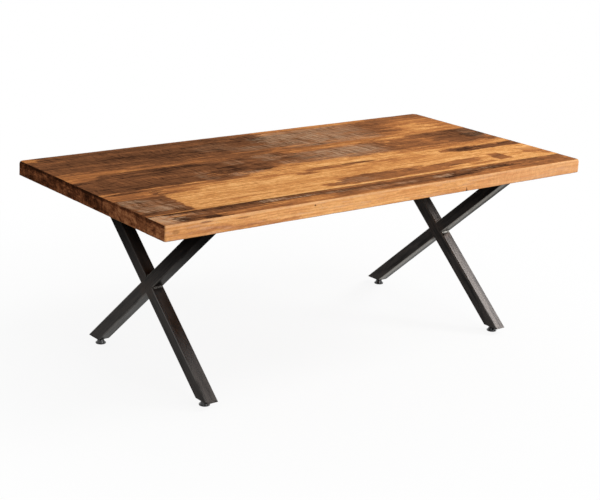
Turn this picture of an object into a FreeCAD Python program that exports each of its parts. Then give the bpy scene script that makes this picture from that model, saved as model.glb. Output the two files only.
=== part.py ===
"""Low sawbuck table: four old boards glued edge to edge, on two welded X-frames of square steel tube.

Millimetres. +X runs along the top, +Y to the back and +Z up. The origin is on the floor, under the middle
of the top. Both frames are the same weldment; the right one is the left one turned half way round.
"""
import FreeCAD, Part
import math
import os

Vector = FreeCAD.Vector

# Top: boards running lengthwise, each as wide as the old timber gave
TOP_LENGTH = 1200.0
BACK_BOARD_WIDTH = 196.0
CENTRE_BACK_BOARD_WIDTH = 160.0
CENTRE_FRONT_BOARD_WIDTH = 165.0
FRONT_BOARD_WIDTH = 67.0
TOP_THICKNESS = 33.0
TABLE_HEIGHT = 438.0
TOP_CORNER_RADIUS = 3.0
TOP_ARRIS_RADIUS = 2.5
SEAM_EASING = 0.8

# Dowels in the glued seams
DOWELS_PER_SEAM = 6
DOWEL_DIAMETER = 8.0
DOWEL_LENGTH = 50.0
DOWEL_CHAMFER = 1.0
DOWEL_PLAY = 0.1
DOWEL_HOLE_SPARE = 1.0

# X-frames of square tube
END_OVERHANG = 150.0
TUBE = 30.0
TUBE_WALL = 2.0
TUBE_CORNER = 3.0
LEAST_BORE_CORNER = 0.3
LEG_SPREAD = 438.0
CAP_THICKNESS = 3.0
WELD_LEG = 4.0
WELD_CROWN = 0.7
FLUSH_WELD_TIP = 0.8

# Mounting plate across the top of each frame
PLATE_THICKNESS = 5.0
PLATE_LEDGE = 25.0
PLATE_END = 18.0
PLATE_CORNER = 8.0

# Screws, washers and threaded inserts that hold the plates to the boards
SCREW_DIAMETER = 6.0
SCREW_LENGTH = 16.0
SCREW_HEAD_DIAMETER = 10.5
SCREW_HEAD_HEIGHT = 3.3
SCREW_CROWN_DIAMETER = 5.6
SCREW_DOME = 0.6
SOCKET_FLATS = 4.0
SOCKET_DEPTH = 2.0
SCREW_FROM_TUBE = 13.0
SCREW_FROM_PLATE_END = 20.0
INNER_SCREW_SHARE = 1.0 / 3.0
SLOT_PLAY = 1.0
SLOT_TRAVEL = 6.0
WASHER_DIAMETER = 12.0
WASHER_THICKNESS = 1.6
WASHER_PLAY = 0.4
INSERT_DIAMETER = 10.0
INSERT_LENGTH = 12.0
INSERT_CHAMFER = 0.8
INSERT_HOLE_SPARE = 5.0
INSERT_PLAY = 0.1

# Levelling feet
FOOT_HEIGHT = 14.5
FOOT_INSET = 7.5
STUD_DIAMETER = 8.0
STUD_CHAMFER = 0.8
STUD_END_GAP = 1.5
THREAD_PLAY = 0.05
CAP_HOLE_PLAY = 0.5
NUT_FLATS = 13.0
NUT_HEIGHT = 6.5
BASE_DIAMETER = 24.5
BASE_RIM_HEIGHT = 2.6
BASE_RIM_ROUND = 0.8
BASE_FLOOR = 4.0
CONE_DIAMETER = 21.0
NECK_DIAMETER = 11.4
NECK_HEIGHT = 2.0

# Places worked out from the sizes
BOARD_WIDTHS = {
    "back": BACK_BOARD_WIDTH,
    "centre_back": CENTRE_BACK_BOARD_WIDTH,
    "centre_front": CENTRE_FRONT_BOARD_WIDTH,
    "front": FRONT_BOARD_WIDTH,
}
TOP_WIDTH = sum(BOARD_WIDTHS.values())
TOP_UNDERSIDE = TABLE_HEIGHT - TOP_THICKNESS
PLATE_UNDERSIDE = TOP_UNDERSIDE - PLATE_THICKNESS
FRAME_X = TOP_LENGTH / 2 - END_OVERHANG - TUBE / 2
CROSSING_HEIGHT = (FOOT_HEIGHT + PLATE_UNDERSIDE) / 2
LEG_ANGLE = math.atan2(PLATE_UNDERSIDE - FOOT_HEIGHT, LEG_SPREAD)
LEVEL_CUT = TUBE / math.sin(LEG_ANGLE)
PLATE_WIDTH = TUBE + 2 * PLATE_LEDGE
PLATE_LENGTH = LEG_SPREAD + LEVEL_CUT + 2 * PLATE_END
SCREW_ROW = TUBE / 2 + SCREW_FROM_TUBE
OUTER_SCREW = PLATE_LENGTH / 2 - SCREW_FROM_PLATE_END
FOOT_Y = LEG_SPREAD / 2 - FOOT_INSET
LONG = 2 * (TABLE_HEIGHT + LEG_SPREAD)
SAME_PLACE = 1e-6


def cylinder(diameter, height, base, axis=Vector(0, 0, 1)):
    """A round bar that starts at base and runs along axis."""
    return Part.makeCylinder(diameter / 2, height, base, axis)


def hexagon(flats, height, base):
    """A six-sided prism, standing on base."""
    radius = flats / math.sqrt(3)
    corners = []
    for step in range(7):
        turn = math.radians(60 * step)
        corners.append(base + Vector(radius * math.cos(turn), radius * math.sin(turn), 0))
    return Part.Face(Part.makePolygon(corners)).extrude(Vector(0, 0, height))


def slot(width, travel, height, base):
    """A round-ended slot along Y, standing on base."""
    middle = Part.makeBox(width, travel, height, base - Vector(width / 2, travel / 2, 0))
    ends = [cylinder(width, height, base + Vector(0, end * travel / 2, 0)) for end in (-1, 1)]
    return middle.fuse(ends).removeSplitter()


def edges_along(shape, direction):
    """The straight edges of a shape that run along a direction."""
    found = []
    for edge in shape.Edges:
        if isinstance(edge.Curve, Part.Line) and edge.Curve.Direction.cross(direction).Length < SAME_PLACE:
            found.append(edge)
    return found


def circles_at(shape, height):
    """The round edges of a shape that lie at a height."""
    return [
        edge for edge in shape.Edges
        if isinstance(edge.Curve, Part.Circle) and abs(edge.Curve.Center.z - height) < SAME_PLACE
    ]


def level_slab(bottom, top):
    """Everything between two heights."""
    return Part.makeBox(LONG, LONG, top - bottom, Vector(-LONG / 2, -LONG / 2, bottom))


def seam_places():
    """The three glued seams: name and Y, from the back."""
    place = TOP_WIDTH / 2
    seams = []
    for name, width in list(BOARD_WIDTHS.items())[:-1]:
        place -= width
        seams.append((name, place))
    return seams


def screw_places(frame_x):
    """The X and Y of the screws in one mounting plate."""
    inner = OUTER_SCREW * INNER_SCREW_SHARE
    rows = (frame_x - SCREW_ROW, frame_x + SCREW_ROW)
    return [(x, y) for x in rows for y in (-OUTER_SCREW, -inner, inner, OUTER_SCREW)]


def seam_dowels(seam_y, play=0.0, spare=0.0, chamfer=0.0):
    """The dowels across one seam, or with play and spare, the holes for them."""
    pitch = TOP_LENGTH / DOWELS_PER_SEAM
    length = DOWEL_LENGTH + 2 * spare
    dowels = []
    for step in range(DOWELS_PER_SEAM):
        x = (step + 0.5) * pitch - TOP_LENGTH / 2
        start = Vector(x, seam_y - length / 2, TOP_UNDERSIDE + TOP_THICKNESS / 2)
        dowel = cylinder(DOWEL_DIAMETER + 2 * play, length, start, Vector(0, 1, 0))
        if chamfer:
            rims = [edge for edge in dowel.Edges if isinstance(edge.Curve, Part.Circle)]
            dowel = dowel.makeChamfer(chamfer, rims)
        dowels.append(dowel)
    return dowels


def make_boards():
    """The boards: one slab with eased edges, parted at the seams and drilled from below."""
    left_end = -TOP_LENGTH / 2
    slab = Part.makeBox(
        TOP_LENGTH, TOP_WIDTH, TOP_THICKNESS, Vector(left_end, -TOP_WIDTH / 2, TOP_UNDERSIDE)
    )
    slab = slab.makeFillet(TOP_CORNER_RADIUS, edges_along(slab, Vector(0, 0, 1)))
    rims = [edge for edge in slab.Edges if edge.BoundBox.ZLength < SAME_PLACE]
    slab = slab.makeFillet(TOP_ARRIS_RADIUS, rims)
    cuts = []
    for _, seam_y in seam_places():
        cuts += seam_dowels(seam_y, DOWEL_PLAY, DOWEL_HOLE_SPARE)
        groove = Part.makePolygon([
            Vector(-TOP_LENGTH, seam_y - SEAM_EASING, TABLE_HEIGHT),
            Vector(-TOP_LENGTH, seam_y + SEAM_EASING, TABLE_HEIGHT),
            Vector(-TOP_LENGTH, seam_y, TABLE_HEIGHT - SEAM_EASING),
            Vector(-TOP_LENGTH, seam_y - SEAM_EASING, TABLE_HEIGHT),
        ])
        cuts.append(Part.Face(groove).extrude(Vector(2 * TOP_LENGTH, 0, 0)))
    for frame_x in (-FRAME_X, FRAME_X):
        for x, y in screw_places(frame_x):
            hole = Vector(x, y, TOP_UNDERSIDE)
            depth = INSERT_LENGTH + INSERT_HOLE_SPARE
            cuts.append(cylinder(INSERT_DIAMETER + 2 * INSERT_PLAY, depth, hole))
    boards = {}
    back_edge = TOP_WIDTH / 2
    for name, width in BOARD_WIDTHS.items():
        back_edge -= width
        strip = Part.makeBox(TOP_LENGTH, width, TOP_THICKNESS, Vector(left_end, back_edge, TOP_UNDERSIDE))
        boards[name] = slab.common(strip).cut(cuts)
    return boards


def square_bar(side, corner, lean):
    """A long square bar with rounded corners through the crossing, leaning to the back by lean."""
    bar = Part.makeBox(side, side, LONG, Vector(-side / 2, -side / 2, -LONG / 2))
    bar = bar.makeFillet(corner, edges_along(bar, Vector(0, 0, 1)))
    return at_crossing(bar, lean)


def at_crossing(shape, lean):
    """Leans an upright shape about the crossing of the left frame."""
    leaned = shape.rotated(Vector(0, 0, 0), Vector(1, 0, 0), -math.degrees(lean))
    return leaned.translated(Vector(-FRAME_X, 0, CROSSING_HEIGHT))


def fillet_bead(corner, first, second, along):
    """A weld bead in the angle at corner between two directions, with a crowned face."""
    middle = (first + second) * (WELD_LEG / 2)
    crown = corner + middle + Vector(middle).normalize() * WELD_CROWN
    ends = [corner + first * WELD_LEG, corner + second * WELD_LEG]
    outline = Part.Wire([
        Part.LineSegment(corner, ends[0]).toShape(),
        Part.Arc(ends[0], crown, ends[1]).toShape(),
        Part.LineSegment(ends[1], corner).toShape(),
    ])
    return Part.Face(outline).extrude(along)


def crossing_beads():
    """Beads in the four angles between the two legs, along the tubes' flat width."""
    rise = Vector(0, math.cos(LEG_ANGLE), math.sin(LEG_ANGLE))
    fall = Vector(0, math.cos(LEG_ANGLE), -math.sin(LEG_ANGLE))
    flat = TUBE - 2 * TUBE_CORNER
    centre = Vector(-FRAME_X - flat / 2, 0, CROSSING_HEIGHT)
    above = Vector(0, 0, TUBE / 2 / math.cos(LEG_ANGLE))
    behind = Vector(0, TUBE / 2 / math.sin(LEG_ANGLE), 0)
    along = Vector(flat, 0, 0)
    return [
        fillet_bead(centre + above, rise, fall * -1, along),
        fillet_bead(centre - above, rise * -1, fall, along),
        fillet_bead(centre + behind, rise, fall, along),
        fillet_bead(centre - behind, rise * -1, fall * -1, along),
    ]


def flush_welds(half_bar, lean):
    """Weld that fills the through tube's rounded corners under the half tubes, ground flush with both."""
    half = TUBE / 2
    start = half - TUBE_CORNER + FLUSH_WELD_TIP
    reach = half - TUBE_CORNER + math.sqrt(TUBE_CORNER ** 2 - FLUSH_WELD_TIP ** 2)
    bulge = half - TUBE_CORNER * (1 - math.sqrt(0.5))
    fills = []
    for side in (-1, 1):
        for face in (-1, 1):
            spot = lambda x, y: Vector(face * x, side * y, -LONG / 2)
            outline = Part.Wire([
                Part.LineSegment(spot(half, half), spot(half, start)).toShape(),
                Part.LineSegment(spot(half, start), spot(reach, start)).toShape(),
                Part.Arc(spot(reach, start), spot(bulge, bulge), spot(start, reach)).toShape(),
                Part.LineSegment(spot(start, reach), spot(start, half)).toShape(),
                Part.LineSegment(spot(start, half), spot(half, half)).toShape(),
            ])
            strip = Part.Face(outline).extrude(Vector(0, 0, LONG))
            fills += at_crossing(strip, lean).common(half_bar).Solids
    return fills


def plate_beads():
    """Beads along both sides of the two tube ends, under the mounting plate."""
    beads = []
    top_y = LEG_SPREAD / 2
    start_y = top_y - LEVEL_CUT / 2 + TUBE_CORNER / math.sin(LEG_ANGLE)
    end_y = top_y + LEVEL_CUT / 2 - (TUBE_CORNER + WELD_LEG) / math.sin(LEG_ANGLE)
    for end in (-1, 1):
        for side in (-1, 1):
            corner = Vector(-FRAME_X + side * TUBE / 2, end * start_y, PLATE_UNDERSIDE)
            run = Vector(0, end * (end_y - start_y), 0)
            beads.append(fillet_bead(corner, Vector(side, 0, 0), Vector(0, 0, -1), run))
    return beads


def make_mounting_plate():
    """Flat bar with rounded corners and slots that let the boards swell across the grain."""
    plate = Part.makeBox(
        PLATE_WIDTH, PLATE_LENGTH, PLATE_THICKNESS,
        Vector(-FRAME_X - PLATE_WIDTH / 2, -PLATE_LENGTH / 2, PLATE_UNDERSIDE),
    )
    plate = plate.makeFillet(PLATE_CORNER, edges_along(plate, Vector(0, 0, 1)))
    slots = [
        slot(SCREW_DIAMETER + SLOT_PLAY, SLOT_TRAVEL, PLATE_THICKNESS, Vector(x, y, PLATE_UNDERSIDE))
        for x, y in screw_places(-FRAME_X)
    ]
    return plate.cut(slots)


def make_screw(x, y):
    """Button-head socket screw, driven from below."""
    seat = PLATE_UNDERSIDE - WASHER_THICKNESS
    spot = lambda diameter, z: Vector(x + diameter / 2, y, seat + z)
    middle = spot(0, -SCREW_HEAD_HEIGHT)
    crown = spot(SCREW_CROWN_DIAMETER, -SCREW_HEAD_HEIGHT)
    rim = spot(SCREW_HEAD_DIAMETER, 0)
    slope = rim - crown
    dome = (rim + crown) * 0.5 + Vector(slope.z, 0, -slope.x).normalize() * SCREW_DOME
    shank = [
        rim,
        spot(SCREW_DIAMETER, 0),
        spot(SCREW_DIAMETER, SCREW_LENGTH),
        spot(0, SCREW_LENGTH),
        middle,
        crown,
    ]
    outline = Part.Wire(Part.makePolygon(shank).Edges + [Part.Arc(crown, dome, rim).toShape()])
    screw = Part.Face(outline).revolve(Vector(x, y, 0), Vector(0, 0, 1), 360)
    return screw.cut(hexagon(SOCKET_FLATS, SOCKET_DEPTH, middle))


def make_washer(x, y):
    """Plain washer between screw head and plate."""
    base = Vector(x, y, PLATE_UNDERSIDE - WASHER_THICKNESS)
    hole = cylinder(SCREW_DIAMETER + WASHER_PLAY, WASHER_THICKNESS, base)
    return cylinder(WASHER_DIAMETER, WASHER_THICKNESS, base).cut(hole)


def make_insert(x, y):
    """Threaded sleeve in the underside of a board."""
    base = Vector(x, y, TOP_UNDERSIDE)
    sleeve = cylinder(INSERT_DIAMETER, INSERT_LENGTH, base)
    sleeve = sleeve.makeChamfer(INSERT_CHAMFER, circles_at(sleeve, TOP_UNDERSIDE + INSERT_LENGTH))
    return sleeve.cut(cylinder(SCREW_DIAMETER + 2 * THREAD_PLAY, INSERT_LENGTH, base))


def foot_axis(end):
    """Where the left frame's front (-1) or back (1) foot meets the floor."""
    return Vector(-FRAME_X, end * FOOT_Y, 0)


def make_cap(bar, end):
    """Closing plate under a leg, ground flush with the tube and drilled for the foot."""
    bottom = foot_axis(end) + Vector(0, 0, FOOT_HEIGHT)
    plate = bar.common(level_slab(FOOT_HEIGHT, FOOT_HEIGHT + CAP_THICKNESS))
    return plate.cut(cylinder(STUD_DIAMETER + 2 * CAP_HOLE_PLAY, CAP_THICKNESS, bottom))


def make_nut(end):
    """Weld nut on the cap, inside the leg."""
    base = foot_axis(end) + Vector(0, 0, FOOT_HEIGHT + CAP_THICKNESS)
    nut = hexagon(NUT_FLATS, NUT_HEIGHT, base)
    return nut.cut(cylinder(STUD_DIAMETER + 2 * THREAD_PLAY, NUT_HEIGHT, base))


def make_stud(end):
    """Threaded stud of a foot, as long as the leaning leg leaves room for."""
    half_bore = (TUBE / 2 - TUBE_WALL) / math.sin(LEG_ANGLE)
    leg_y_at_tip = FOOT_Y + STUD_DIAMETER / 2 + STUD_END_GAP - half_bore
    tip = CROSSING_HEIGHT - leg_y_at_tip * math.tan(LEG_ANGLE)
    stud = cylinder(STUD_DIAMETER, tip - BASE_FLOOR, foot_axis(end) + Vector(0, 0, BASE_FLOOR))
    return stud.makeChamfer(STUD_CHAMFER, circles_at(stud, tip))


def make_base(end):
    """Round base of a foot: a rim on the floor, a cone and a neck that holds the stud."""
    axis = foot_axis(end)
    spot = lambda diameter, z: axis + Vector(diameter / 2, 0, z)
    bore = STUD_DIAMETER + 2 * THREAD_PLAY
    corners = [
        spot(0, 0),
        spot(BASE_DIAMETER, 0),
        spot(BASE_DIAMETER, BASE_RIM_HEIGHT),
        spot(CONE_DIAMETER, BASE_RIM_HEIGHT),
        spot(NECK_DIAMETER, FOOT_HEIGHT - NECK_HEIGHT),
        spot(NECK_DIAMETER, FOOT_HEIGHT),
        spot(bore, FOOT_HEIGHT),
        spot(bore, BASE_FLOOR),
        spot(0, BASE_FLOOR),
        spot(0, 0),
    ]
    base = Part.Face(Part.makePolygon(corners)).revolve(axis, Vector(0, 0, 1), 360)
    rim = [
        edge for height in (0, BASE_RIM_HEIGHT) for edge in circles_at(base, height)
        if abs(edge.Curve.Radius - BASE_DIAMETER / 2) < SAME_PLACE
    ]
    return base.makeFillet(BASE_RIM_ROUND, rim)


def make_frame():
    """The pieces of the left frame, with its feet named by the leg that they stand under."""
    through_lean = LEG_ANGLE - math.pi / 2
    half_lean = -through_lean
    bore_side = TUBE - 2 * TUBE_WALL
    bore_corner = max(TUBE_CORNER - TUBE_WALL, LEAST_BORE_CORNER)
    legs = level_slab(FOOT_HEIGHT + CAP_THICKNESS, PLATE_UNDERSIDE)
    through_bar = square_bar(TUBE, TUBE_CORNER, through_lean)
    half_bar = square_bar(TUBE, TUBE_CORNER, half_lean)
    through_tube = through_bar.cut(square_bar(bore_side, bore_corner, through_lean)).common(legs)
    cross_tube = half_bar.cut(square_bar(bore_side, bore_corner, half_lean)).common(legs)
    through_room = Part.makeBox(2 * TUBE, TUBE, LONG, Vector(-TUBE, -TUBE / 2, -LONG / 2))
    halves = cross_tube.cut(at_crossing(through_room, through_lean)).Solids
    lower_half, upper_half = sorted(halves, key=lambda solid: solid.CenterOfMass.z)
    screws = screw_places(-FRAME_X)
    pieces = {
        "through_tube": through_tube,
        "upper_half_tube": upper_half,
        "lower_half_tube": lower_half,
        "mounting_plate": make_mounting_plate(),
        "crossing_welds": Part.makeCompound(crossing_beads()),
        "flush_welds": Part.makeCompound(flush_welds(half_bar, through_lean)),
        "plate_welds": Part.makeCompound(plate_beads()),
        "plate_screws": Part.makeCompound([make_screw(x, y) for x, y in screws]),
        "plate_washers": Part.makeCompound([make_washer(x, y) for x, y in screws]),
        "threaded_inserts": Part.makeCompound([make_insert(x, y) for x, y in screws]),
    }
    for leg, bar, end in (("through", through_bar, 1), ("half", half_bar, -1)):
        pieces[leg + " leg_cap"] = make_cap(bar, end)
        pieces[leg + " weld_nut"] = make_nut(end)
        pieces[leg + " foot_stud"] = make_stud(end)
        pieces[leg + " foot_base"] = make_base(end)
    return pieces


def name_in_table(side, piece):
    """A frame piece's name: the through leg stands at the back on the left, at the front on the right."""
    if " " not in piece:
        return side + "_" + piece
    leg, thing = piece.split()
    at_back = (leg == "through") == (side == "left")
    return side + ("_back_" if at_back else "_front_") + thing


parts = {}
for name, board in make_boards().items():
    parts["top_board_" + name] = board
for name, seam_y in seam_places():
    parts["seam_dowels_" + name] = Part.makeCompound(seam_dowels(seam_y, chamfer=DOWEL_CHAMFER))
for piece, shape in make_frame().items():
    parts[name_in_table("left", piece)] = shape
    parts[name_in_table("right", piece)] = shape.rotated(Vector(0, 0, 0), Vector(0, 0, 1), 180)

os.makedirs("parts", exist_ok=True)
for name, shape in parts.items():
    shape.exportStep("parts/" + name + ".step")
    print(name, len(shape.Solids), "solids", round(shape.Volume), "mm3")
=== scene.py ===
import math
import bpy
import numpy as np
from mathutils import Matrix, Vector, noise


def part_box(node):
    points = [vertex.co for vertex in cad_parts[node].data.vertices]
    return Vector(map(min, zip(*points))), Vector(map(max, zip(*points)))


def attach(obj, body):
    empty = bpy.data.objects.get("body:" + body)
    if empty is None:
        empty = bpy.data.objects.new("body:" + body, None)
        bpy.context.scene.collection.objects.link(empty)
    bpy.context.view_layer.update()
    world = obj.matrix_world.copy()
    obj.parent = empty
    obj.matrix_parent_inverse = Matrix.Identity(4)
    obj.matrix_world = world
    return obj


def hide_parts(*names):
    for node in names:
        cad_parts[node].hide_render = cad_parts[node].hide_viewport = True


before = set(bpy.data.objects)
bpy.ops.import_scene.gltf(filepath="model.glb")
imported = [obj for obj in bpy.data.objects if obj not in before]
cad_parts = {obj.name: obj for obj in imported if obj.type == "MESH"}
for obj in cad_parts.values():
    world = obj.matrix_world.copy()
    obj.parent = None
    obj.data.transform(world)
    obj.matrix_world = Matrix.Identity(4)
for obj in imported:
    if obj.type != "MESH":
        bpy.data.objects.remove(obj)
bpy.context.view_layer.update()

# Square tubes of the two X-frames: cold-drawn steel, cut level at both ends. In each frame one tube runs
# through and two half tubes are butted against it. The steel is blackened by hand and lacquered, with
# painted shade towards the plates, corners rubbed paler and partly painted as highlights, and painted
# highlights and reflections on some of the front faces.
LEG_SPREAD = 0.438
FACE_HOLLOW = 0.00036
BUMP_DEPTH = 0.00012
LEFT_TO_RIGHT = (-0.1, 0.1)
RIGHT_TO_LEFT = (0.1, -0.1)
HEAT_FADE = (0.042, 0.020)
CLEAR_OF_WELD = (0.018, 0.034)
PAINTED_SHADE_HEIGHTS = (0.18, 0.39)
REFLECTION_SHADE_HEIGHTS = (0.15, 0.36)
HIGHLIGHT_TOP = (0.30, 0.19)
HIGHLIGHT_FOOT = (0.05, 0.12)
tube_low, tube_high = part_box("left_through_tube")
TUBE_SIDE = tube_high.x - tube_low.x
FRAME_X = -(tube_low.x + tube_high.x) / 2
PLATE_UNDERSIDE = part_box("left_mounting_plate")[0].z
LEG_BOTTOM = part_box("left_back_leg_cap")[0].z
CROSSING = Vector((0, 0, (PLATE_UNDERSIDE + LEG_BOTTOM) / 2))
LEG_ANGLE = math.atan2(PLATE_UNDERSIDE - LEG_BOTTOM, LEG_SPREAD)
UP_TO_BACK = Vector((0, math.cos(LEG_ANGLE), math.sin(LEG_ANGLE)))
UP_TO_FRONT = Vector((0, -math.cos(LEG_ANGLE), math.sin(LEG_ANGLE)))


def colour(red, green, blue):
    """A colour as it looks on a screen, from 0 to 255, in the shader's linear values."""
    return tuple(((part / 255 + 0.055) / 1.055) ** 2.4 for part in (red, green, blue)) + (1.0,)


def set_stops(ramp, stops):
    """Sets the values and colours of a colour ramp."""
    while len(ramp.elements) < len(stops):
        ramp.elements.new(1.0)
    for element, (value, tint) in zip(ramp.elements, stops):
        element.position = value
        element.color = tint


class Shade:
    """What one socket carries through a material. Arithmetic on it adds Math or Vector Math nodes."""

    def __init__(self, tree, socket):
        self.tree = tree
        self.socket = socket

    def node(self, kind, settings, sockets, output=0):
        """Adds a node: its settings first, then the values or links of its sockets."""
        made = self.tree.nodes.new("ShaderNode" + kind)
        for name, value in settings.items():
            if name == "stops":
                set_stops(made.color_ramp, value)
            else:
                setattr(made, name, value)
        for name, value in sockets.items():
            if isinstance(value, Shade):
                self.tree.links.new(value.socket, made.inputs[name])
            else:
                made.inputs[name].default_value = value
        return Shade(self.tree, made.outputs[output])

    def maths(self, operation, first, second=0.0):
        """A Math node on two values, or a Vector Math node on two vectors."""
        carried = [side.socket.type for side in (first, second) if isinstance(side, Shade)]
        if "VECTOR" not in carried:
            return self.node("Math", {"operation": operation}, {0: first, 1: second})
        sides = [(side,) * 3 if isinstance(side, (int, float)) else side for side in (first, second)]
        output = 1 if operation in ("LENGTH", "DOT_PRODUCT") else 0
        return self.node("VectorMath", {"operation": operation}, {0: sides[0], 1: sides[1]}, output)

    def __add__(self, other):
        return self.maths("ADD", self, other)

    def __sub__(self, other):
        return self.maths("SUBTRACT", self, other)

    def __rsub__(self, other):
        return self.maths("SUBTRACT", other, self)

    def __mul__(self, other):
        return self.maths("MULTIPLY", self, other)

    def __truediv__(self, other):
        return self.maths("DIVIDE", self, other)

    def __abs__(self):
        return self.maths("ABSOLUTE", self)

    __radd__ = __add__
    __rmul__ = __mul__

    def most(self, other):
        """The greater of two values."""
        return self.maths("MAXIMUM", self, other)

    def least(self, other):
        """The smaller of two values."""
        return self.maths("MINIMUM", self, other)

    def step(self, low, high):
        """A smooth rise from 0 at low to 1 at high, or a fall where low is above high."""
        ends = {"Value": self, "From Min": low, "From Max": high}
        return self.node("MapRange", {"interpolation_type": "SMOOTHSTEP"}, ends)

    def mix(self, below, above):
        """The colour below where this mask is 0, and the colour above where it is 1."""
        return self.node("Mix", {"data_type": "RGBA"}, {0: self, 6: below, 7: above}, 2)

    def ramp(self, stops):
        """A colour for each value, blended between stops of a value and a colour."""
        return self.node("ValToRGB", {"stops": stops}, {0: self})

    def grain(self, size, detail=2.0, roughness=0.5):
        """Noise about a half over a place; size is how far its waves reach along each axis, in metres."""
        scaled = self * tuple(1 / reach for reach in size)
        sockets = {"Vector": scaled, "Scale": 1.0, "Detail": detail, "Roughness": roughness}
        return self.node("TexNoise", {}, sockets)

    def axes(self):
        """The three parts of a place."""
        return [self.node("SeparateXYZ", {}, {0: self}, part) for part in range(3)]

    def bump(self, depth):
        """A surface that this height raises, by depth metres where it is 1."""
        return self.node("Bump", {}, {"Distance": depth, "Height": self})


def new_material(name):
    """A material with nothing set yet, and the place on the object that its patterns follow."""
    material = bpy.data.materials.new(name)
    material.use_nodes = True
    coordinates = material.node_tree.nodes.new("ShaderNodeTexCoord")
    return material, Shade(material.node_tree, coordinates.outputs["Object"])


def set_surface(material, sockets):
    """Sets or links the sockets of a material's surface."""
    tree = material.node_tree
    surface = tree.nodes["Principled BSDF"]
    for name, value in sockets.items():
        if isinstance(value, Shade):
            tree.links.new(value.socket, surface.inputs[name])
        else:
            surface.inputs[name].default_value = value


def blackened_steel(name, along, hollow):
    """Blackened steel, drawn or rolled along a direction, with painted shade high up. Tube has hollow faces,
    rubbed corners and painted highlights.
    """
    material, place = new_material(name)
    x, _, z = place.axes()
    across = Vector((0, -along.z, along.y))
    from_crossing = place - tuple(CROSSING)
    sideways = abs(x) - FRAME_X
    run = from_crossing.maths("DOT_PRODUCT", from_crossing, tuple(along))
    height = from_crossing.maths("DOT_PRODUCT", from_crossing, tuple(across))
    on_tube = place.node("CombineXYZ", {}, {"X": x, "Y": height, "Z": run})
    cloud = on_tube.grain((0.018, 0.018, 0.05), 5, 0.62)
    draw_marks = on_tube.grain((0.0016, 0.0016, 0.20), 2)
    draw_bands = on_tube.grain((0.008, 0.008, 0.45), 1)
    dents = on_tube.grain((0.022, 0.022, 0.09), 1)
    scuffs = on_tube.grain((0.004, 0.0035, 0.014), 4, 0.7).step(0.62, 0.74)
    dull = on_tube.grain((0.009, 0.009, 0.07), 4, 0.62).step(0.38, 0.62)
    heat = abs(run).step(*HEAT_FADE) * cloud.step(0.35, 0.6)
    left = x.step(*RIGHT_TO_LEFT)
    painted_top_shade = z.step(*PAINTED_SHADE_HEIGHTS)
    reflection_shade = z.step(*REFLECTION_SHADE_HEIGHTS)
    blacking = cloud.step(0.30, 0.72) * 0.6 + draw_marks.step(0.3, 0.7) * 0.4
    steel = blacking.mix(colour(22, 20, 19), colour(39, 36, 35))
    steel = (dull * 0.45).mix(steel, colour(69, 64, 61))
    steel = (heat * 0.4).mix(steel, colour(60, 47, 39))
    steel = (scuffs * 0.35).mix(steel, colour(65, 62, 59))
    # Painted shade: the steel is painted darker towards the plates, where the top shades it, most on the
    # left frame.
    steel = (painted_top_shade * (0.8 + left * 0.16)).mix(steel, colour(9, 8, 8))
    if hollow:
        # Corners rubbed paler, partly as a painted highlight along them.
        corner = (abs(sideways) + abs(height)).step(0.895 * TUBE_SIDE, 0.938 * TUBE_SIDE)
        steel = (corner * cloud.step(0.25, 0.6) * (1 - painted_top_shade) * 0.5).mix(steel, colour(112, 108, 104))
        front = height.step(0.40 * TUBE_SIDE, 0.47 * TUBE_SIDE) * abs(run).step(*CLEAR_OF_WELD)
        if along.y < 0:
            # Painted reflection: the faces that look forward and down on the right frame's half tubes are
            # painted paler.
            inner = sideways.step(0.30 * TUBE_SIDE, -0.35 * TUBE_SIDE)
            rubbed = draw_bands.step(0.3, 0.7) * 0.20 + inner * 0.60 + 0.02
            steel = (front * x.step(*LEFT_TO_RIGHT) * rubbed).mix(steel, colour(150, 147, 141))
        else:
            # Painted highlight: a band low on the left frame's half tubes, on faces that look forward and
            # up, is painted paler.
            rubbed = z.step(*HIGHLIGHT_TOP) * z.step(*HIGHLIGHT_FOOT)
            steel = (front * left * rubbed * 0.9).mix(steel, colour(84, 81, 80))
    dish = (sideways * sideways + height * height) * (hollow / BUMP_DEPTH / (TUBE_SIDE / 2) ** 2)
    set_surface(material, {
        "Base Color": steel,
        # Painted shade in the reflections: metallic and coat fall high up, under the top, most on the left
        # frame.
        "Metallic": (0.95 - dull * 0.35) * (1 - reflection_shade * (0.85 + left * 0.12)),
        "Specular IOR Level": 0.0,
        "Roughness": 0.14 + cloud * 0.14 + draw_marks * 0.04 + draw_bands * 0.12,
        "Specular Tint": (0.70, 0.70, 0.69, 1.0),
        "Coat Weight": (1 - reflection_shade) * 0.06,
        "Coat Roughness": 0.14,
        "Normal": (draw_marks * 0.05 + draw_bands * 1.3 + dents * 0.5 + dish).bump(BUMP_DEPTH),
    })
    return material


def dress(node, material):
    """Gives a CAD node its finish."""
    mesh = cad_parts[node].data
    mesh.materials.clear()
    mesh.materials.append(material)


up_to_front = blackened_steel("blackened_tube_up_to_front", UP_TO_FRONT, FACE_HOLLOW)
up_to_back = blackened_steel("blackened_tube_up_to_back", UP_TO_BACK, FACE_HOLLOW)
for side, through, half in (("left", up_to_front, up_to_back), ("right", up_to_back, up_to_front)):
    dress(side + "_through_tube", through)
    dress(side + "_upper_half_tube", half)
    dress(side + "_lower_half_tube", half)

# Mounting plates under the top and the caps that close the legs: flat bar and sheet of the same steel,
# blackened with the tubes after welding. The caps are ground flush with the tube all round.
flat_steel = blackened_steel("blackened_flat_bar", Vector((0, 1, 0)), 0.0)
CORNERS = [side + "_" + end for side in ("left", "right") for end in ("front", "back")]
for side in ("left", "right"):
    dress(side + "_mounting_plate", flat_steel)
for corner in CORNERS:
    dress(corner + "_leg_cap", flat_steel)
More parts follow.
